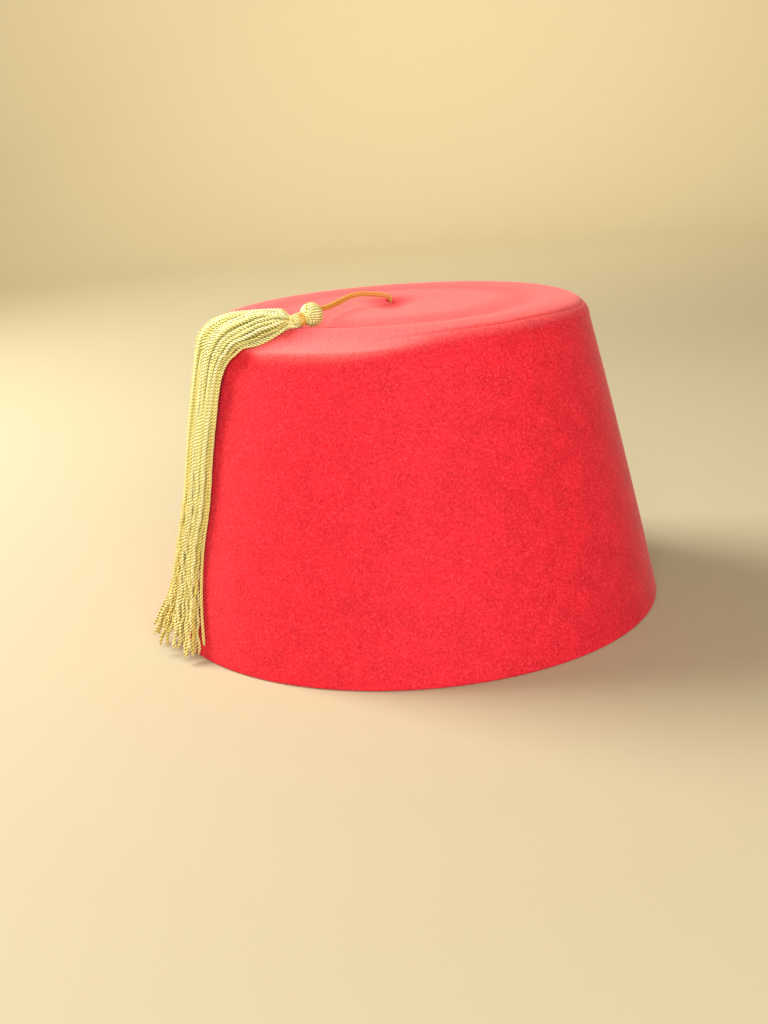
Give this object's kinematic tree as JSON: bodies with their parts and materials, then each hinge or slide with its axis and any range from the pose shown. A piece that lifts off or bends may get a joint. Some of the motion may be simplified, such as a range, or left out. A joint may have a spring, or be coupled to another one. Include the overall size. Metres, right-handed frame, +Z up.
{
  "type": "fez hat with a hanging tassel",
  "caption": "Brimless flat-topped felt hat, a hollow tapered crown open below, with a twisted-cord tassel that hangs from the middle of the top over the side.",
  "frame": {"origin": "the centre of the rim's plane, which the hat rests on", "axes": "+Z up through the crown, +X along the long way of the oval, -Y the front, with the tassel over the front left"},
  "size_m": [0.1938, 0.1864, 0.1244],
  "materials": {
    "felt": "blocked red wool felt, matt with a short nap",
    "cord": "fine twisted rayon cord, deep orange gold, silky",
    "tassel": "two-ply twisted rayon strands, pale gold, silky"
  },
  "bodies": {
    "root": {"crown": "felt", "inner_knot": "cord", "hanging_cord": "cord", "tassel_ball": "tassel", "tassel_binding": "cord", "tassel_skirt": "tassel"}
  },
  "joints": []
}
